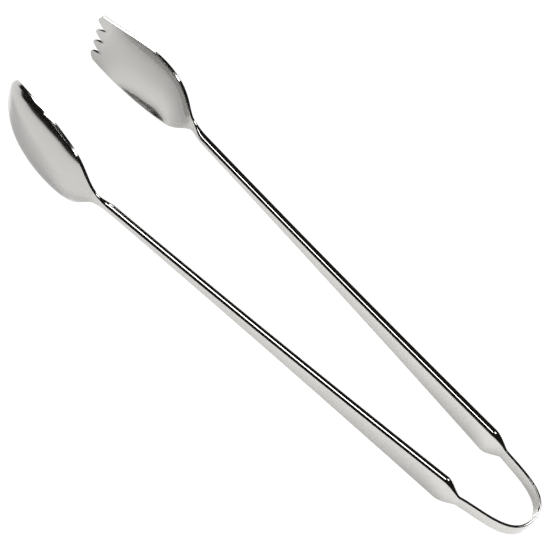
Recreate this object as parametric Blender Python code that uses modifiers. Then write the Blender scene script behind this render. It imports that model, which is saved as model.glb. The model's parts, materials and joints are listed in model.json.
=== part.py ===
"""Serving tongs of polished stainless steel, with a spoon head and a fork head.

Each arm is a flat tapered plate with a solid stiffening bar on its inner side. A sprung
bow of the same sheet joins the two plates at the shoulders, and a pressed head is welded
on each neck. The tongs are designed in their own frame: the apex of the bow is the
origin, +Y runs towards the heads, X is the direction in which the arms open, and Z is
the width of the strip. They lie on their side, on the rims of both heads and the
shoulders, so the whole design hangs on one tilted empty.
"""
import math

import bpy
import numpy as np
from mathutils import Vector

MM = 0.001

# Driving dimensions, in metres
SHEET = 1.1 * MM             # one gauge for the bow, the plates and the heads
FIT_GAP = 0.3 * MM           # clearance left at every joint between two pieces
ARM_THICKNESS = 3.2 * MM     # plate, gap and bar together
SHOULDER_Y = 31.5 * MM       # where the arm has its full width
TOE_Y = 24.0 * MM            # where the arm has narrowed to the bow's strip
BAR_END_Y = 190.5 * MM       # where the thick part of the arm ends
NECK_Y = 195.5 * MM          # where the arm ends and the head begins
SHOULDER_X = 15.4 * MM       # outer face of the arm at the shoulder
NECK_X = 26.9 * MM           # outer face of the arm at the neck
SHOULDER_HALF = 6.9 * MM
NECK_HALF = 1.5 * MM
TAPER_WAIST = 1.0 * MM       # how far the middle of the taper is drawn in
SHOULDER_FULLNESS = 0.62     # below 1 the shoulder stays full for longer, above 1 it is slimmer
STRIP_HALF = 2.8 * MM        # half width of the bow where it meets the arm
APEX_HALF = 3.3 * MM         # half width of the bow at its apex
TOE_INSET = {"spoon": 0.9 * MM, "fork": 0.3 * MM}   # how far the toe turns in to the bow
BOW_SHIFT = 0.8 * MM         # the apex sits nearer to the fork arm
BOW_CROWN = 12.5 * MM        # handle of the bow's curve at the apex
BOW_LEG = 9.8 * MM           # handle of the bow's curve along the toe
BAR_CORNER = 0.9 * MM        # rounding of the bar's long edges
BAR_TIP = 0.35 * MM          # thickness left at the very end of the bar's toe
BAR_RISE = 0.7               # below 1 the toe of the bar swells sooner

# The spring bends about a virtual pivot inside each half of the bow
PIVOT_X = 10.0 * MM
PIVOT_Y = 9.5 * MM

# Heads: half width of the rim, distance of the rim from the middle plane, and depth,
# each as cubic curves over the distance from the apex, in millimetres
HEAD_HALF = 16.9
HEAD_WIDEST_Y = 222.0
SPOON_TIP_Y = 250.5
SPOON_TIP_HALF = 0.9
NECK_WIDTH = [(187.0, 1.5), (190.5, 1.4), (194.2, 2.2), (196.0, 3.5)]
HEEL_WIDTH = [
    [(196.0, 3.5), (199.8, 6.9), (202.5, 13.2), (210.0, 15.2)],
    [(210.0, 15.2), (213.0, 16.2), (217.5, HEAD_HALF), (HEAD_WIDEST_Y, HEAD_HALF)],
]
SPOON_WIDTH = [NECK_WIDTH] + HEEL_WIDTH + [
    [(HEAD_WIDEST_Y, HEAD_HALF), (228.0, HEAD_HALF), (248.8, 12.5), (SPOON_TIP_Y, SPOON_TIP_HALF)],
]
SPOON_RIM = [
    [(195.8, 25.8), (201.0, 26.9), (206.0, 25.9), (214.0, 25.3)],
    [(214.0, 25.3), (226.0, 23.8), (242.5, 21.1), (SPOON_TIP_Y, 14.4)],
]
SPOON_DEPTH = [
    [(195.8, 0.0), (199.0, 0.0), (202.0, 4.3), (214.0, 4.3)],
    [(214.0, 4.3), (227.0, 5.0), (243.1, 6.2), (SPOON_TIP_Y, 0.1)],
]
FORK_TIP_Y = 248.2
TINE_ROOT_Y = 243.4
FORK_WIDTH = [NECK_WIDTH] + HEEL_WIDTH + [
    [(HEAD_WIDEST_Y, HEAD_HALF), (229.0, HEAD_HALF), (238.0, 15.2), (FORK_TIP_Y, 13.2)],
]
FORK_RIM = [
    [(195.8, 25.7), (202.0, 26.4), (208.0, 27.4), (216.0, 27.3)],
    [(216.0, 27.3), (226.0, 27.1), (236.0, 25.4), (FORK_TIP_Y, 25.6)],
]
FORK_DEPTH = [
    [(195.8, 0.0), (199.0, 0.0), (202.0, 4.4), (214.0, 4.9)],
    [(214.0, 4.9), (225.0, 4.9), (236.5, 4.4), (TINE_ROOT_Y, 0.0)],
]
# Power of the cross-section: 2 is a parabola, more is a flatter bottom with steeper sides
HEEL_FULLNESS = 2.1
SPOON_TIP_FULLNESS = 4.2
FORK_TIP_FULLNESS = 2.2
STEEPEST_FACING = 0.65       # keeps the sheet from growing thick where a bowl is steep
TINES = 4
TINE_LENGTH = 4.8 * MM
TINE_POINT = 1.6             # 1 is a straight-sided point, more is blunter
OUTER_TINE_CUT = 0.35        # the outermost flanks are cut back less

# Mesh steps
ARM_STEPS = 12
SHOULDER_STEPS = 6
BOW_STEPS = 14
HEAD_STEPS = 18
SPOON_COLUMNS = 12
COLUMNS_PER_TINE = 6
EVEN_WEIGHT = 0.5            # 0 crowds the rows of a head at its ends, more spreads them
NECK_STEPS = 4
SMOOTH_ANGLE = 35.0          # in degrees; sharper edges stay crisp

STEEL = (0.63, 0.62, 0.60)
ARM_ROUGHNESS = 0.10
BOW_ROUGHNESS = 0.16
HEAD_ROUGHNESS = 0.08


def clear_scene():
    for item in list(bpy.data.objects):
        bpy.data.objects.remove(item, do_unlink=True)


def steel_material(name, roughness):
    material = bpy.data.materials.new(name)
    material.use_nodes = True
    shader = material.node_tree.nodes["Principled BSDF"]
    shader.inputs["Base Color"].default_value = (*STEEL, 1.0)
    shader.inputs["Metallic"].default_value = 1.0
    shader.inputs["Roughness"].default_value = roughness
    return material


def bezier(points, t):
    """Point of a cubic curve at t, where t may be an array."""
    p0, p1, p2, p3 = (np.asarray(p, dtype=float) for p in points)
    t = np.asarray(t, dtype=float)[..., None]
    s = 1.0 - t
    return s**3 * p0 + 3 * s**2 * t * p1 + 3 * s * t**2 * p2 + t**3 * p3


def curve_reader(segments):
    """Turn joined cubic curves of (distance, value) in mm into a function in metres."""
    samples = np.vstack([bezier(points, np.linspace(0.0, 1.0, 41)) for points in segments])
    return lambda y: float(np.interp(y / MM, samples[:, 0], samples[:, 1])) * MM


def smoothstep(x):
    x = min(max(x, 0.0), 1.0)
    return x * x * (3.0 - 2.0 * x)


def grid_mesh(name, rows):
    """Open surface through rows of points, all rows the same length."""
    count = len(rows[0])
    faces = []
    for i in range(len(rows) - 1):
        for j in range(count - 1):
            a = i * count + j
            faces.append((a, a + 1, a + count + 1, a + count))
    mesh = bpy.data.meshes.new(name)
    mesh.from_pydata([tuple(p) for row in rows for p in row], [], faces)
    return mesh


def pressed_sheet_mesh(name, rows, side):
    """Closed sheet outside the rows, with its edge trimmed along the pressing direction X."""
    inner = np.array(rows)
    normal = np.cross(np.gradient(inner, axis=0), np.gradient(inner, axis=1))
    facing = np.abs(normal[..., 0]) / np.linalg.norm(normal, axis=2)
    outer = inner.copy()
    outer[..., 0] += side * SHEET / np.maximum(facing, STEEPEST_FACING)
    length, count = inner.shape[:2]
    total = length * count
    faces = []
    for i in range(length - 1):
        for j in range(count - 1):
            a = i * count + j
            faces.append((a, a + 1, a + count + 1, a + count))
            faces.append(tuple(total + k for k in (a + count, a + count + 1, a + 1, a)))
    first_row = list(range(count))
    last_row = [(length - 1) * count + j for j in range(count)]
    edge = first_row + [i * count + count - 1 for i in range(1, length - 1)]
    edge += last_row[::-1] + [i * count for i in range(length - 2, 0, -1)]
    for a, b in zip(edge, edge[1:] + edge[:1]):
        faces.append((b, a, total + a, total + b))
    if side < 0:
        faces = [tuple(reversed(face)) for face in faces]
    mesh = bpy.data.meshes.new(name)
    mesh.from_pydata([tuple(v) for v in np.concatenate([inner, outer]).reshape(-1, 3)], [], faces)
    return mesh


def loft_mesh(name, rings):
    """Closed solid through rings of points, all rings the same length."""
    count = len(rings[0])
    faces = [tuple(range(count)), tuple((len(rings) - 1) * count + j for j in reversed(range(count)))]
    for i in range(len(rings) - 1):
        for j in range(count):
            a = i * count + j
            b = i * count + (j + 1) % count
            faces.append((b, a, a + count, b + count))
    mesh = bpy.data.meshes.new(name)
    mesh.from_pydata([tuple(p) for ring in rings for p in ring], [], faces)
    return mesh


def add_part(name, mesh, parent, origin, collection, roughness):
    """Link a mesh made in the tongs' frame to a parent that stands at origin."""
    mesh.materials.append(steel_material(name + "_steel", roughness))
    part = bpy.data.objects.new(name, mesh)
    part.parent = parent
    part.location = -origin
    collection.objects.link(part)
    mesh.shade_smooth()
    mesh.set_sharp_from_angle(angle=math.radians(SMOOTH_ANGLE))
    return part


def add_sheet(part, side):
    """Give an open surface the sheet's thickness, away from the middle plane."""
    solid = part.modifiers.new("sheet", "SOLIDIFY")
    solid.thickness = SHEET
    solid.offset = -side
    solid.use_even_offset = True


def arm_outer_x(hand, y):
    """Outer face: straight along the arm, then turning in towards the bow."""
    straight = SHOULDER_X + (NECK_X - SHOULDER_X) * (y - SHOULDER_Y) / (NECK_Y - SHOULDER_Y)
    toe = max((SHOULDER_Y - y) / (SHOULDER_Y - TOE_Y), 0.0)
    return straight - TOE_INSET[hand] * toe**2


def arm_slope(hand, y):
    """Change of the outer face's distance from the middle plane, per distance along it."""
    toe = max((SHOULDER_Y - y) / (SHOULDER_Y - TOE_Y), 0.0)
    straight = (NECK_X - SHOULDER_X) / (NECK_Y - SHOULDER_Y)
    return straight + 2.0 * TOE_INSET[hand] * toe / (SHOULDER_Y - TOE_Y)


def shoulder_share(y):
    return smoothstep((y - TOE_Y) / (SHOULDER_Y - TOE_Y))


def arm_half_width(y):
    """Half width of the arm: soft shoulder, waisted taper, flare into the head."""
    s = max((y - SHOULDER_Y) / (NECK_Y - SHOULDER_Y), 0.0)
    taper = SHOULDER_HALF + (NECK_HALF - SHOULDER_HALF) * s - TAPER_WAIST * 4.0 * s * (1.0 - s)
    half = STRIP_HALF + (taper - STRIP_HALF) * shoulder_share(y) ** SHOULDER_FULLNESS
    return max(half, curve_reader([NECK_WIDTH])(y))


def arm_stations(first_y, last_y):
    shoulder = np.linspace(first_y, SHOULDER_Y, SHOULDER_STEPS + 1)
    arm = np.linspace(SHOULDER_Y, BAR_END_Y, ARM_STEPS + 1)[1:]
    neck = np.linspace(BAR_END_Y, NECK_Y, NECK_STEPS + 1)[1:]
    return [y for y in (*shoulder, *arm, *neck) if y <= last_y]


def make_arm_plate(hand, side, parent, origin, collection):
    """Outer plate: flat along the arm, flared at the neck, turned in at the toe."""
    name = hand + "_arm_plate"
    rows = []
    for y in arm_stations(TOE_Y, NECK_Y):
        half = arm_half_width(y)
        x = side * (arm_outer_x(hand, y) - SHEET)
        rows.append([(x, y, -half), (x, y, half)])
    part = add_part(name, grid_mesh(name, rows), parent, origin, collection, ARM_ROUGHNESS)
    add_sheet(part, side)
    return part


def bar_ring(hand, side, y, half, depth):
    """Section of the bar: flat against the plate, long edges rounded on the inner side."""
    x_plate = arm_outer_x(hand, y) - SHEET - FIT_GAP
    corner = min(BAR_CORNER, depth * 0.8, half * 0.7)
    ring = [(x_plate, half), (x_plate - depth + corner, half)]
    for angle in (30.0, 60.0, 90.0):
        turn = math.radians(angle)
        ring.append((x_plate - depth + corner - corner * math.sin(turn),
                     half - corner + corner * math.cos(turn)))
    ring += [(x, -z) for x, z in reversed(ring)]
    return [(side * x, y, z) for x, z in ring]


def make_arm_bar(hand, side, parent, origin, collection):
    """Solid bar on the inner side of the plate, run out to a thin toe at the shoulder."""
    name = hand + "_arm_bar"
    full = ARM_THICKNESS - SHEET - FIT_GAP
    rings = []
    for y in arm_stations(TOE_Y + SHEET, BAR_END_Y):
        depth = BAR_TIP + (full - BAR_TIP) * shoulder_share(y) ** BAR_RISE
        rings.append(bar_ring(hand, side, y, arm_half_width(y), depth))
    if side < 0:
        rings = [list(reversed(ring)) for ring in rings]
    return add_part(name, loft_mesh(name, rings), parent, origin, collection, ARM_ROUGHNESS)


def bow_curve(hand, side):
    """Cubic curve of half the bow's outer face, from the apex to the toe of an arm."""
    end_y = TOE_Y - FIT_GAP
    slope = arm_slope(hand, TOE_Y)
    end = np.array([arm_outer_x(hand, end_y), end_y])
    toe_line = np.array([slope, 1.0]) / math.hypot(slope, 1.0)
    apex = side * BOW_SHIFT
    return [(apex, 0.0), (apex + BOW_CROWN, 0.0), end - toe_line * BOW_LEG, end]


def make_spring_bow(parent, collection):
    """U of flat strip that leaves each arm in line with the toe of its plate."""
    rows = []
    for t in np.linspace(-1.0, 1.0, 2 * BOW_STEPS + 1):
        side, hand = (-1, "spoon") if t < 0 else (1, "fork")
        x, y = bezier(bow_curve(hand, side), abs(t))
        half = APEX_HALF + (STRIP_HALF - APEX_HALF) * abs(t)
        rows.append([(side * x, y, half), (side * x, y, -half)])
    mesh = grid_mesh("spring_bow", rows)
    part = add_part("spring_bow", mesh, parent, Vector((0, 0, 0)), collection, BOW_ROUGHNESS)
    add_sheet(part, 1)
    return part


def bowl_point(side, y, across, curves, fullness):
    """Point of a head's inner face; across runs from -1 to 1 between the rims."""
    width, rim, depth = curves
    x = rim(y) + depth(y) * (1.0 - abs(across) ** fullness)
    return (side * x, y, across * width(y))


def across_steps(count):
    """Positions across a bowl, closer together towards the rims."""
    return [math.sin(math.pi / 2 * u) for u in np.linspace(-1.0, 1.0, count + 1)]


def along_steps():
    """Shares of the way from the neck to the tip, closer together at both ends."""
    even = np.linspace(0.0, 1.0, HEAD_STEPS + 1)
    eased = 0.5 - 0.5 * np.cos(math.pi * even)
    return (eased + EVEN_WEIGHT * even) / (1.0 + EVEN_WEIGHT)


def make_spoon_head(side, parent, origin, collection):
    """Pressed oval bowl with a pointed tip that leans in towards the other arm."""
    curves = [curve_reader(c) for c in (SPOON_WIDTH, SPOON_RIM, SPOON_DEPTH)]
    start = NECK_Y + FIT_GAP
    rows = []
    for share in along_steps():
        y = start + (SPOON_TIP_Y * MM - start) * share
        fullness = HEEL_FULLNESS + (SPOON_TIP_FULLNESS - HEEL_FULLNESS) * share
        rows.append([bowl_point(side, y, v, curves, fullness) for v in across_steps(SPOON_COLUMNS)])
    mesh = pressed_sheet_mesh("spoon_bowl", rows, side)
    return add_part("spoon_bowl", mesh, parent, origin, collection, HEAD_ROUGHNESS)


def tine_cut(across):
    """How far the end is cut back: a row of rounded tines with pointed notches."""
    phase = (across + 1.0) / 2.0 * TINES
    from_tip = abs((phase % 1.0) - 0.5) * 2.0
    if 0.5 <= phase <= TINES - 0.5:
        return TINE_LENGTH * from_tip**TINE_POINT
    return TINE_LENGTH * OUTER_TINE_CUT * from_tip**2


def make_fork_head(side, parent, origin, collection):
    """Pressed bowl that stays wide to its end, where it is cut into short tines."""
    curves = [curve_reader(c) for c in (FORK_WIDTH, FORK_RIM, FORK_DEPTH)]
    start = NECK_Y + FIT_GAP
    columns = np.linspace(-1.0, 1.0, TINES * COLUMNS_PER_TINE + 1)
    rows = []
    for share in along_steps():
        ends = [FORK_TIP_Y * MM - tine_cut(v) for v in columns]
        rows.append([bowl_point(side, start + (end - start) * share, v, curves, FORK_TIP_FULLNESS)
                     for v, end in zip(columns, ends)])
    mesh = pressed_sheet_mesh("fork_bowl", rows, side)
    return add_part("fork_bowl", mesh, parent, origin, collection, HEAD_ROUGHNESS)


def add_empty(name, location, parent, collection):
    empty = bpy.data.objects.new(name, None)
    empty.location = location
    empty.parent = parent
    collection.objects.link(empty)
    return empty


def stand_on_origin(frame, parts):
    """Move the frame so that the middle of the bounding box's floor is the world origin."""
    bpy.context.view_layer.update()
    depsgraph = bpy.context.evaluated_depsgraph_get()
    corners = []
    for part in parts:
        evaluated = part.evaluated_get(depsgraph)
        corners += [evaluated.matrix_world @ v.co for v in evaluated.data.vertices]
    low = Vector([min(c[i] for c in corners) for i in range(3)])
    high = Vector([max(c[i] for c in corners) for i in range(3)])
    frame.location -= Vector(((low.x + high.x) / 2, (low.y + high.y) / 2, low.z))


def main():
    clear_scene()
    collection = bpy.data.collections.new("serving_tongs")
    bpy.context.scene.collection.children.link(collection)

    rest_tilt = math.atan((HEAD_HALF * MM - SHOULDER_HALF) / (HEAD_WIDEST_Y * MM - SHOULDER_Y))
    frame = add_empty("resting_frame", (0, 0, 0), None, collection)
    frame.rotation_euler = (rest_tilt, 0, 0)
    parts = [make_spring_bow(frame, collection)]
    for side, hand in ((-1, "spoon"), (1, "fork")):
        pivot = Vector((side * PIVOT_X, PIVOT_Y, 0))
        arm = add_empty(hand + "_pivot", pivot, frame, collection)
        parts.append(make_arm_plate(hand, side, arm, pivot, collection))
        parts.append(make_arm_bar(hand, side, arm, pivot, collection))
        make_head = make_spoon_head if side < 0 else make_fork_head
        parts.append(make_head(side, arm, pivot, collection))
    stand_on_origin(frame, parts)


main()
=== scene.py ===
"""Looks of the serving tongs: polished arms, a rounded spring strip and two pressed heads.

Everything is built in the tongs' own frame, which the joints of the record give: the apex
of the bow is the origin, +Y runs towards the heads, X is the direction in which the arms
open, and Z is the width of the strip. Each mesh is then moved into the frame of the CAD.
"""
import json
import math

import bpy
import numpy as np
from mathutils import Matrix, Vector


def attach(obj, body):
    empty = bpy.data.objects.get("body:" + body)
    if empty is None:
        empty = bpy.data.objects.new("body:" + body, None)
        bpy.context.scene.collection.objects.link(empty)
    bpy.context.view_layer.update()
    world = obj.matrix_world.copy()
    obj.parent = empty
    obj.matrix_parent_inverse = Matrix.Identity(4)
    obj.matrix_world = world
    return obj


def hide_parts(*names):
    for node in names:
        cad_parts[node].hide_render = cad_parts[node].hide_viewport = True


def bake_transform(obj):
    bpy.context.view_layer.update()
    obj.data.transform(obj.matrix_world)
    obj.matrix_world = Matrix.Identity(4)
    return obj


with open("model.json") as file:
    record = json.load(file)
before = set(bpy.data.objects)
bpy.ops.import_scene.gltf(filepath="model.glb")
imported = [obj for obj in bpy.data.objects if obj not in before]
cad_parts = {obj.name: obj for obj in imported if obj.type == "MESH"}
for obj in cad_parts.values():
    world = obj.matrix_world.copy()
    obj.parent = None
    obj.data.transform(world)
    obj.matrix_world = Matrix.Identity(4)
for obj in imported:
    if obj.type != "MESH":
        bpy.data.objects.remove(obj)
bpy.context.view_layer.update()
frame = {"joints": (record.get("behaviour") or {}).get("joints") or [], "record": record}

MM = 0.001

# Sizes that the CAD model has too, in metres
SHEET = 1.1 * MM
ARM_THICKNESS = 3.2 * MM
SHOULDER_Y = 31.5 * MM
TOE_Y = 24.0 * MM
NECK_Y = 195.5 * MM
SHOULDER_X = 15.4 * MM
NECK_X = 26.9 * MM
SHOULDER_HALF = 6.9 * MM
NECK_HALF = 1.5 * MM
TAPER_WAIST = 1.0 * MM
SHOULDER_FULLNESS = 0.62
STRIP_HALF = 2.8 * MM
APEX_HALF = 3.3 * MM
TOE_INSET = {"spoon": 0.9 * MM, "fork": 0.3 * MM}
BOW_SHIFT = 0.8 * MM
BOW_CROWN = 12.5 * MM
BOW_LEG = 9.8 * MM
PIVOT_Y = 9.5 * MM

# Heads, as in the CAD: cubic curves over the distance from the apex, in millimetres.
# Those of the spoon are a rounded least-squares fit.
HEAD_HALF = 16.9
HEAD_WIDEST_Y = 222.0
SPOON_TIP_Y = 250.5
SPOON_TIP_HALF = 0.9
NECK_WIDTH = [(187.0, 1.5), (190.5, 1.4), (194.2, 2.2), (196.0, 3.5)]
HEEL_WIDTH = [
    [(196.0, 3.5), (199.8, 6.9), (202.5, 13.2), (210.0, 15.2)],
    [(210.0, 15.2), (213.0, 16.2), (217.5, HEAD_HALF), (HEAD_WIDEST_Y, HEAD_HALF)],
]
SPOON_WIDTH = [NECK_WIDTH] + HEEL_WIDTH + [
    [(HEAD_WIDEST_Y, HEAD_HALF), (228.0, HEAD_HALF), (248.8, 12.5), (SPOON_TIP_Y, SPOON_TIP_HALF)],
]
SPOON_RIM = [
    [(195.8, 25.8), (201.0, 26.9), (206.0, 25.9), (214.0, 25.3)],
    [(214.0, 25.3), (226.0, 23.8), (242.5, 21.1), (SPOON_TIP_Y, 14.4)],
]
SPOON_DEPTH = [
    [(195.8, 0.0), (199.0, 0.0), (202.0, 4.3), (214.0, 4.3)],
    [(214.0, 4.3), (227.0, 5.0), (243.1, 6.2), (SPOON_TIP_Y, 0.1)],
]
FORK_TIP_Y = 248.2
TINE_ROOT_Y = 243.4
FORK_WIDTH = [NECK_WIDTH] + HEEL_WIDTH + [
    [(HEAD_WIDEST_Y, HEAD_HALF), (229.0, HEAD_HALF), (238.0, 15.2), (FORK_TIP_Y, 13.2)],
]
FORK_RIM = [
    [(195.8, 25.7), (202.0, 26.4), (208.0, 27.4), (216.0, 27.3)],
    [(216.0, 27.3), (226.0, 27.1), (236.0, 25.4), (FORK_TIP_Y, 25.6)],
]
FORK_DEPTH = [
    [(195.8, 0.0), (199.0, 0.0), (202.0, 4.4), (214.0, 4.9)],
    [(214.0, 4.9), (225.0, 4.9), (236.5, 4.4), (TINE_ROOT_Y, 0.0)],
]
HEEL_FULLNESS = 2.1
SPOON_TIP_FULLNESS = 4.2
FORK_TIP_FULLNESS = 2.2
STEEPEST_FACING = 0.65
TINES = 4
TINE_LENGTH = 4.8 * MM
TINE_POINT = 1.6             # 1 is a straight-sided point, more is blunter
OUTER_TINE_CUT = 0.35        # the outermost flanks are cut back less

# Rounding that only the looks have
FACE_EDGE = 0.22 * MM        # crisp edge round the outer face
INNER_EDGE = 0.85 * MM       # softer edge round the inner face
WALL_CROWN = 0.42 * MM       # how far the side walls bulge
STRIP_EDGE = 0.28 * MM
STRIP_CROWN = 0.10 * MM
RIM_ROUND = 0.18 * MM
NECK_RUN = 8.5 * MM          # length over which the arm thins down to the head
NECK_LAP = 0.8 * MM          # how far the arm runs into the head
BAR_RISE = 0.7               # below 1 the toe of the arm swells sooner
FLAT_SHARES = (0.55, 0.96)   # where a flat face has points between its middle and its edge
CAP_ANGLE = 60               # in degrees; a strip's edges sharper than this stay crisp
RIM_ANGLE = 50               # in degrees; a head's edges sharper than this are rounded
SPOON_EVEN_WEIGHT = 0.35     # 0 crowds the rows of a head at its ends, more spreads them
FORK_EVEN_WEIGHT = 0.6
HEAD_ROWS = 85
HEAD_PAINTED_SHADE = 0.9             # painted shade: the heads are made a little darker than their slot's colour, for the shadowed floor they reflect

# Camera, in the tongs' frame: a solved pose
CAMERA_AT = (-0.3369, -0.0004, 0.5588)
CAMERA_RIGHT = (0.65914, -0.71351, 0.2353)
CAMERA_DOWN = (-0.55241, -0.67242, -0.49155)
CAMERA_LENS = 118.46


def tongs_to_world():
    """Frame of the tongs, from the two hinges that bend the bow."""
    joints = {j["name"]: j for j in frame["joints"]}
    left = Vector(joints["spoon_arm_flex"]["pos_m"])
    right = Vector(joints["fork_arm_flex"]["pos_m"])
    x_axis = (right - left).normalized()
    z_axis = Vector(joints["fork_arm_flex"]["axis"]).normalized()
    y_axis = z_axis.cross(x_axis)
    origin = (left + right) / 2 - y_axis * PIVOT_Y
    rotation = Matrix((x_axis, y_axis, z_axis)).transposed()
    return Matrix.Translation(origin) @ rotation.to_4x4()


TONGS = tongs_to_world()


# ---------------------------------------------------------------- curves

def bezier(points, t):
    """Point of a cubic curve at t, where t may be an array."""
    p0, p1, p2, p3 = (np.asarray(p, dtype=float) for p in points)
    t = np.asarray(t, dtype=float)[..., None]
    s = 1.0 - t
    return s**3 * p0 + 3 * s**2 * t * p1 + 3 * s * t**2 * p2 + t**3 * p3


def curve_reader(segments):
    """Turn joined cubic curves of (distance, value) in mm into a function in metres."""
    samples = np.vstack([bezier(points, np.linspace(0.0, 1.0, 201)) for points in segments])
    return lambda y: np.interp(y / MM, samples[:, 0], samples[:, 1]) * MM


def smoothstep(x):
    x = np.clip(x, 0.0, 1.0)
    return x * x * (3.0 - 2.0 * x)


# ---------------------------------------------------------------- meshes

def new_object(name, verts, faces, material):
    """Object from points in the tongs' frame."""
    mesh = bpy.data.meshes.new(name)
    mesh.from_pydata([tuple(v) for v in verts], [], faces)
    mesh.transform(TONGS)
    mesh.materials.append(material)
    mesh.shade_smooth()
    piece = bpy.data.objects.new(name, mesh)
    bpy.context.scene.collection.objects.link(piece)
    return piece


def apply_modifiers(piece):
    bpy.context.view_layer.update()
    evaluated = piece.evaluated_get(bpy.context.evaluated_depsgraph_get())
    mesh = bpy.data.meshes.new_from_object(evaluated)
    piece.modifiers.clear()
    piece.data = mesh
    piece.data.shade_smooth()


def loft(name, rings, material, flip):
    """Closed solid through rings of points, all rings the same length."""
    count = len(rings[0])
    last = (len(rings) - 1) * count
    faces = [tuple(range(count)), tuple(last + j for j in reversed(range(count)))]
    for i in range(len(rings) - 1):
        for j in range(count):
            a = i * count + j
            b = i * count + (j + 1) % count
            faces.append((b, a, a + count, b + count))
    if flip:
        faces = [tuple(reversed(face)) for face in faces]
    piece = new_object(name, [p for ring in rings for p in ring], faces, material)
    piece.data.set_sharp_from_angle(angle=math.radians(CAP_ANGLE))
    return piece


def quarter(radius, depth):
    """How far a rounded corner of that radius has drawn in at that depth from the face."""
    reach = np.maximum(radius - depth, 0.0)
    return radius - np.sqrt(np.maximum(radius**2 - reach**2, 0.0))


def half_section(half, thickness, outer_edge, inner_edge, crown):
    """(depth, width) pairs from the middle of the outer face round to the inner face's."""
    turn = np.radians(np.linspace(0.0, 90.0, 7))
    outer_depths = outer_edge * (1.0 - np.cos(turn))
    inner_depths = thickness - inner_edge * (1.0 - np.cos(turn))
    wall = np.linspace(outer_depths[-1], inner_depths[-1], 9)[1:-1]
    depths = np.concatenate([outer_depths, wall, inner_depths[::-1]])
    across = 2.0 * depths / thickness - 1.0
    widths = half - crown * across**2
    widths = widths - quarter(outer_edge, depths) - quarter(inner_edge, thickness - depths)
    outline = [(0.0, 0.0)] + [(0.0, share * widths[0]) for share in FLAT_SHARES]
    outline += list(zip(depths, widths))
    outline += [(thickness, share * widths[-1]) for share in reversed(FLAT_SHARES)]
    return outline + [(thickness, 0.0)]


def section_ring(outer_point, inward, outline):
    """Full ring of a strip's section at a point of its outer face."""
    ring = []
    for depth, width in outline:
        ring.append((*(outer_point + inward * depth), width))
    for depth, width in reversed(outline[1:-1]):
        ring.append((*(outer_point + inward * depth), -width))
    return ring


# ---------------------------------------------------------------- arms

def arm_outer_x(hand, y):
    """Outer face: straight along the arm, then turning in towards the bow."""
    straight = SHOULDER_X + (NECK_X - SHOULDER_X) * (y - SHOULDER_Y) / (NECK_Y - SHOULDER_Y)
    toe = max((SHOULDER_Y - y) / (SHOULDER_Y - TOE_Y), 0.0)
    return straight - TOE_INSET[hand] * toe**2


def arm_inward(hand, y):
    """Unit vector from the outer face towards the middle of the tongs."""
    step = 0.05 * MM
    slope = (arm_outer_x(hand, y + step) - arm_outer_x(hand, y - step)) / (2.0 * step)
    return np.array([-1.0, slope]) / math.hypot(1.0, slope)


def arm_half_width(y):
    """Half width of the arm: soft shoulder, waisted taper, flare into the head."""
    s = max((y - SHOULDER_Y) / (NECK_Y - SHOULDER_Y), 0.0)
    taper = SHOULDER_HALF + (NECK_HALF - SHOULDER_HALF) * s - TAPER_WAIST * 4.0 * s * (1.0 - s)
    rise = smoothstep((y - TOE_Y) / (SHOULDER_Y - TOE_Y)) ** SHOULDER_FULLNESS
    half = STRIP_HALF + (taper - STRIP_HALF) * rise
    return max(half, curve_reader([NECK_WIDTH])(y))


def arm_thickness(y):
    """Thick along the arm, run out to the sheet's gauge at the toe and at the neck."""
    rise = smoothstep((y - TOE_Y) / (SHOULDER_Y - TOE_Y)) ** BAR_RISE
    run = smoothstep((NECK_Y - y) / NECK_RUN)
    return SHEET + (ARM_THICKNESS - SHEET) * rise * run


def make_arm(hand, side, material):
    """One polished arm: flat outer face, crowned side walls, softer inner edges."""
    stations = np.concatenate([
        np.linspace(TOE_Y, SHOULDER_Y + 2 * MM, 40)[:-1],
        np.linspace(SHOULDER_Y + 2 * MM, NECK_Y - NECK_RUN, 60)[:-1],
        np.linspace(NECK_Y - NECK_RUN, NECK_Y + NECK_LAP, 30),
    ])
    rings = []
    for y in stations:
        thickness = arm_thickness(y)
        share = (thickness - SHEET) / (ARM_THICKNESS - SHEET)
        inner_edge = STRIP_EDGE + (INNER_EDGE - STRIP_EDGE) * share
        crown = STRIP_CROWN + (WALL_CROWN - STRIP_CROWN) * share
        outline = half_section(arm_half_width(y), thickness, FACE_EDGE, inner_edge, crown)
        ring = section_ring(np.array([arm_outer_x(hand, y), y]), arm_inward(hand, y), outline)
        rings.append([(side * px, py, pz) for px, py, pz in ring])
    arm = loft(hand + "_arm", rings, material, side > 0)
    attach(arm, hand + "_side")
    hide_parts(hand + "_arm_plate", hand + "_arm_bar")


# ---------------------------------------------------------------- spring bow

def make_bow_half(hand, side, material):
    """Half of the sprung strip, from the apex to the arm."""
    end = np.array([arm_outer_x(hand, TOE_Y), TOE_Y])
    inward = arm_inward(hand, TOE_Y)
    toe_line = np.array([inward[1], -inward[0]])
    apex = side * BOW_SHIFT
    curve = [(apex, 0.0), (apex + BOW_CROWN, 0.0), end - toe_line * BOW_LEG, end]
    steps = np.linspace(0.0, 1.0, 61)
    points = bezier(curve, steps)
    tangents = np.gradient(points, axis=0)
    tangents[0] = (1.0, 0.0)
    tangents[-1] = toe_line
    rings = []
    for t, point, tangent in zip(steps, points, tangents):
        tangent = tangent / np.linalg.norm(tangent)
        inward = np.array([-tangent[1], tangent[0]])
        half = APEX_HALF + (STRIP_HALF - APEX_HALF) * t
        outline = half_section(half, SHEET, STRIP_EDGE, STRIP_EDGE, STRIP_CROWN)
        ring = section_ring(point, inward, outline)
        rings.append([(side * px, py, pz) for px, py, pz in ring])
    strip = loft("bow_" + hand + "_half", rings, material, side > 0)
    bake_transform(strip)
    return strip


# ---------------------------------------------------------------- heads

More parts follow.
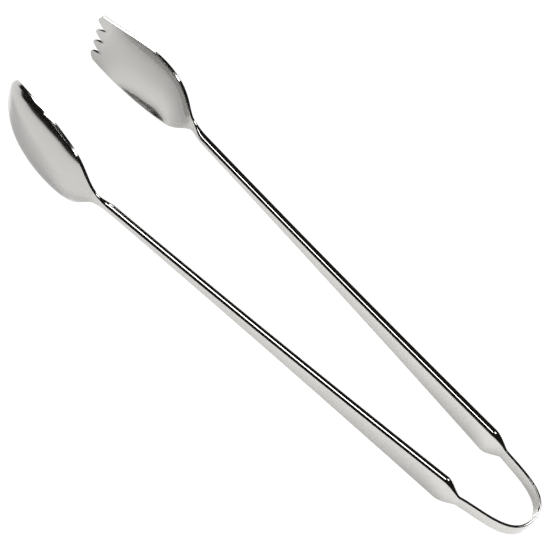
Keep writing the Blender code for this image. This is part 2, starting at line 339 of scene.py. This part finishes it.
def pressed_sheet(name, rows, side, material):
    """Closed sheet outside the rows, trimmed along the pressing direction X, rim rounded."""
    inner = np.array(rows)
    normal = np.cross(np.gradient(inner, axis=0), np.gradient(inner, axis=1))
    facing = np.abs(normal[..., 0]) / np.linalg.norm(normal, axis=2)
    outer = inner.copy()
    outer[..., 0] += side * SHEET / np.maximum(facing, STEEPEST_FACING)
    length, count = inner.shape[:2]
    total = length * count
    faces = []
    for i in range(length - 1):
        for j in range(count - 1):
            a = i * count + j
            faces.append((a, a + 1, a + count + 1, a + count))
            faces.append(tuple(total + k for k in (a + count, a + count + 1, a + 1, a)))
    first_row = list(range(count))
    last_row = [(length - 1) * count + j for j in range(count)]
    edge = first_row + [i * count + count - 1 for i in range(1, length - 1)]
    edge += last_row[::-1] + [i * count for i in range(length - 2, 0, -1)]
    for a, b in zip(edge, edge[1:] + edge[:1]):
        faces.append((b, a, total + a, total + b))
    if side < 0:
        faces = [tuple(reversed(face)) for face in faces]
    piece = new_object(name, np.concatenate([inner, outer]).reshape(-1, 3), faces, material)
    bevel = piece.modifiers.new("rim", "BEVEL")
    bevel.width = RIM_ROUND
    bevel.segments = 3
    bevel.limit_method = "ANGLE"
    bevel.angle_limit = math.radians(RIM_ANGLE)
    apply_modifiers(piece)
    return piece


def eased_rows(start, end, weight):
    """Distances from start to end, closer together near both ends."""
    even = np.linspace(0.0, 1.0, HEAD_ROWS)
    eased = 0.5 - 0.5 * np.cos(np.pi * even)
    return start + (end - start) * (eased + weight * even) / (1.0 + weight)


def bowl_point(side, y, across, width, rim, depth, fullness):
    x = rim(y) + depth(y) * (1.0 - abs(across) ** fullness)
    return (side * x, y, across * width(y))


def make_spoon_head(side, material):
    width, rim, depth = (curve_reader(c) for c in (SPOON_WIDTH, SPOON_RIM, SPOON_DEPTH))
    columns = np.sin(np.pi / 2 * np.linspace(-1.0, 1.0, 49))
    start, tip = NECK_Y, SPOON_TIP_Y * MM
    rows = []
    for y in eased_rows(start, tip, SPOON_EVEN_WEIGHT):
        fullness = HEEL_FULLNESS + (SPOON_TIP_FULLNESS - HEEL_FULLNESS) * (y - start) / (tip - start)
        rows.append([bowl_point(side, y, v, width, rim, depth, fullness) for v in columns])
    head = pressed_sheet("spoon_head", rows, side, material)
    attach(head, "spoon_side")
    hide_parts("spoon_bowl")


def tine_cut(across):
    """How far the end is cut back: a row of rounded tines with pointed notches."""
    phase = (across + 1.0) / 2.0 * TINES
    from_tip = abs((phase % 1.0) - 0.5) * 2.0
    inner = 0.5 <= phase <= TINES - 0.5
    return (from_tip ** TINE_POINT if inner else OUTER_TINE_CUT * from_tip ** 2) * TINE_LENGTH


def make_fork_head(side, material):
    width, rim, depth = (curve_reader(c) for c in (FORK_WIDTH, FORK_RIM, FORK_DEPTH))
    columns = np.linspace(-1.0, 1.0, TINES * 16 + 1)
    tips = [FORK_TIP_Y * MM - tine_cut(v) for v in columns]
    lines = [eased_rows(NECK_Y, tip, FORK_EVEN_WEIGHT) for tip in tips]
    rows = []
    for ys in zip(*lines):
        rows.append([bowl_point(side, y, v, width, rim, depth, FORK_TIP_FULLNESS)
                     for y, v in zip(ys, columns)])
    head = pressed_sheet("fork_head", rows, side, material)
    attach(head, "fork_side")
    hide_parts("fork_bowl")


# ---------------------------------------------------------------- materials

def steel(name, colour, roughness, spread, scratch_strength):
    """Polished stainless steel: faint waviness, fine polishing lines, uneven gloss."""
    material = bpy.data.materials.new(name)
    material.use_nodes = True
    nodes = material.node_tree.nodes
    links = material.node_tree.links
    shader = nodes["Principled BSDF"]
    shader.inputs["Metallic"].default_value = 1.0
    coords = nodes.new("ShaderNodeTexCoord")

    def noise(scale, detail, stretch=(1.0, 1.0, 1.0)):
        mapping = nodes.new("ShaderNodeMapping")
        mapping.inputs["Scale"].default_value = stretch
        links.new(coords.outputs["Object"], mapping.inputs["Vector"])
        texture = nodes.new("ShaderNodeTexNoise")
        texture.inputs["Scale"].default_value = scale
        texture.inputs["Detail"].default_value = detail
        links.new(mapping.outputs["Vector"], texture.inputs["Vector"])
        return texture.outputs["Fac"]

    def remap(value, low, high):
        node = nodes.new("ShaderNodeMapRange")
        node.inputs["To Min"].default_value = low
        node.inputs["To Max"].default_value = high
        links.new(value, node.inputs["Value"])
        return node.outputs["Result"]

    tint = nodes.new("ShaderNodeMixRGB")
    tint.inputs["Color1"].default_value = (*[c * 0.95 for c in colour], 1.0)
    tint.inputs["Color2"].default_value = (*[min(c * 1.05, 1.0) for c in colour], 1.0)
    links.new(noise(45.0, 3.0), tint.inputs["Fac"])
    links.new(tint.outputs["Color"], shader.inputs["Base Color"])
    links.new(remap(noise(160.0, 4.0), roughness - spread, roughness + spread),
              shader.inputs["Roughness"])

    wave = nodes.new("ShaderNodeBump")
    wave.inputs["Strength"].default_value = 0.25
    wave.inputs["Distance"].default_value = 0.05 * MM
    links.new(noise(60.0, 1.0), wave.inputs["Height"])
    lines = nodes.new("ShaderNodeBump")
    lines.inputs["Strength"].default_value = scratch_strength
    lines.inputs["Distance"].default_value = 0.01 * MM
    links.new(noise(2600.0, 2.0, (1.0, 0.03, 1.0)), lines.inputs["Height"])
    links.new(wave.outputs["Normal"], lines.inputs["Normal"])
    links.new(lines.outputs["Normal"], shader.inputs["Normal"])
    return material


# painted shade: a factor below 1 darkens the slot's colour; the heads use it
def record_colour(slot, painted_shade=1.0):
    colours = {entry["slot"]: entry["base_color"] for entry in frame["record"]["materials"]}
    return [painted_shade * c for c in colours[slot][:3]]


# ---------------------------------------------------------------- stage

def plain_material(name, colour, emission):
    material = bpy.data.materials.new(name)
    material.use_nodes = True
    shader = material.node_tree.nodes["Principled BSDF"]
    shader.inputs["Base Color"].default_value = (*colour, 1.0)
    shader.inputs["Roughness"].default_value = 0.9
    shader.inputs["Specular IOR Level"].default_value = 0.0
    shader.inputs["Emission Color"].default_value = (1.0, 1.0, 1.0, 1.0)
    shader.inputs["Emission Strength"].default_value = emission
    return material


def make_floor():
    """Pale table. The camera sees it evenly lit; the steel sees it with its shadows."""
    for name, height, albedo, emission in (("floor", 0.0, 0.0, 1.05),
                                           ("floor_in_steel", -0.2 * MM, 0.85, 0.35)):
        bpy.ops.mesh.primitive_circle_add(vertices=96, radius=5.0, fill_type="NGON",
                                          location=(0.0, 0.0, height))
        floor = bpy.context.object
        floor.name = name
        floor.data.materials.append(plain_material(name + "_white", (albedo,) * 3, emission))
        seen = name == "floor"
        floor.visible_camera = seen
        floor.visible_glossy = not seen
        floor.visible_diffuse = not seen
        floor.visible_shadow = not seen


def make_tent():
    """Dark tent round the set, which the camera looks through: it keeps the black bands
    in the steel and lets the lamps be the only bright things overhead."""
    bpy.ops.mesh.primitive_uv_sphere_add(segments=48, ring_count=24, radius=4.8)
    tent = bpy.context.object
    tent.name = "dark_tent"
    tent.data.materials.append(plain_material("tent_black", (0.02, 0.018, 0.015), 0.008))
    tent.visible_camera = False


def add_lamp(name, direction, distance, size, power, reflected=True):
    """Rectangular soft lamp that looks at the object from a direction in the tongs' frame."""
    light = bpy.data.lights.new(name, "AREA")
    light.shape = "RECTANGLE"
    light.size, light.size_y = size
    light.energy = power
    lamp = bpy.data.objects.new(name, light)
    middle = TONGS @ Vector((0.0, 0.12, 0.0))
    away = (TONGS.to_3x3() @ Vector(direction)).normalized()
    lamp.location = middle + away * distance
    z_axis = away
    y_axis = (TONGS.to_3x3() @ Vector((0.0, 1.0, 0.0)))
    x_axis = y_axis.cross(z_axis).normalized()
    y_axis = z_axis.cross(x_axis)
    lamp.matrix_world = (Matrix.Translation(lamp.location)
                         @ Matrix((x_axis, y_axis, z_axis)).transposed().to_4x4())
    lamp.visible_glossy = reflected
    lamp.visible_diffuse = not reflected
    bpy.context.scene.collection.objects.link(lamp)


def make_world():
    world = bpy.data.worlds.new("pale_room")
    world.use_nodes = True
    background = world.node_tree.nodes["Background"]
    background.inputs["Color"].default_value = (0.9, 0.9, 0.9, 1.0)
    background.inputs["Strength"].default_value = 1.0
    bpy.context.scene.world = world


def make_camera():
    camera = bpy.data.objects.new("camera", bpy.data.cameras.new("camera"))
    camera.data.lens = CAMERA_LENS
    camera.data.clip_start = 0.01
    camera.data.clip_end = 50.0
    right = Vector(CAMERA_RIGHT).normalized()
    up = -Vector(CAMERA_DOWN)
    up = (up - right * up.dot(right)).normalized()
    rotation = Matrix((right, up, right.cross(up))).transposed().to_4x4()
    camera.matrix_world = TONGS @ Matrix.Translation(CAMERA_AT) @ rotation
    bpy.context.scene.collection.objects.link(camera)
    bpy.context.scene.camera = camera


make_camera()
make_world()
make_floor()
make_tent()
add_lamp("overhead_strip", (0.18, 0.40, 0.95), 1.2, (0.20, 0.85), 2.7)
add_lamp("rear_softbox", (0.52, -0.26, 0.81), 1.2, (0.30, 0.30), 1.4)
add_lamp("ceiling", (0.0, 0.0, 1.0), 1.2, (2.0, 2.0), 11.0, reflected=False)
add_lamp("key_light", (0.25, -0.60, 0.76), 1.2, (0.45, 0.45), 9.0, reflected=False)
add_lamp("tip_softbox", (0.60, 0.80, 0.78), 1.27, (0.35, 0.80), 4.5)
bpy.context.scene.view_settings.view_transform = "Standard"

arm_steel = steel("polished_arm_steel", record_colour("polished_arm"), 0.06, 0.03, 0.05)
# painted shade: the heads' steel colour is darkened below the record's colour
head_steel = steel("polished_head_steel", record_colour("polished_head", HEAD_PAINTED_SHADE), 0.12, 0.04, 0.25)
bow_steel = steel("sprung_bow_steel", record_colour("sprung_bow"), 0.07, 0.03, 0.05)
for side, hand in ((-1, "spoon"), (1, "fork")):
    make_arm(hand, side, arm_steel)
    strip = make_bow_half(hand, side, bow_steel)
    if side < 0:
        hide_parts("spring_bow")
make_spoon_head(-1, head_steel)
make_fork_head(1, head_steel)
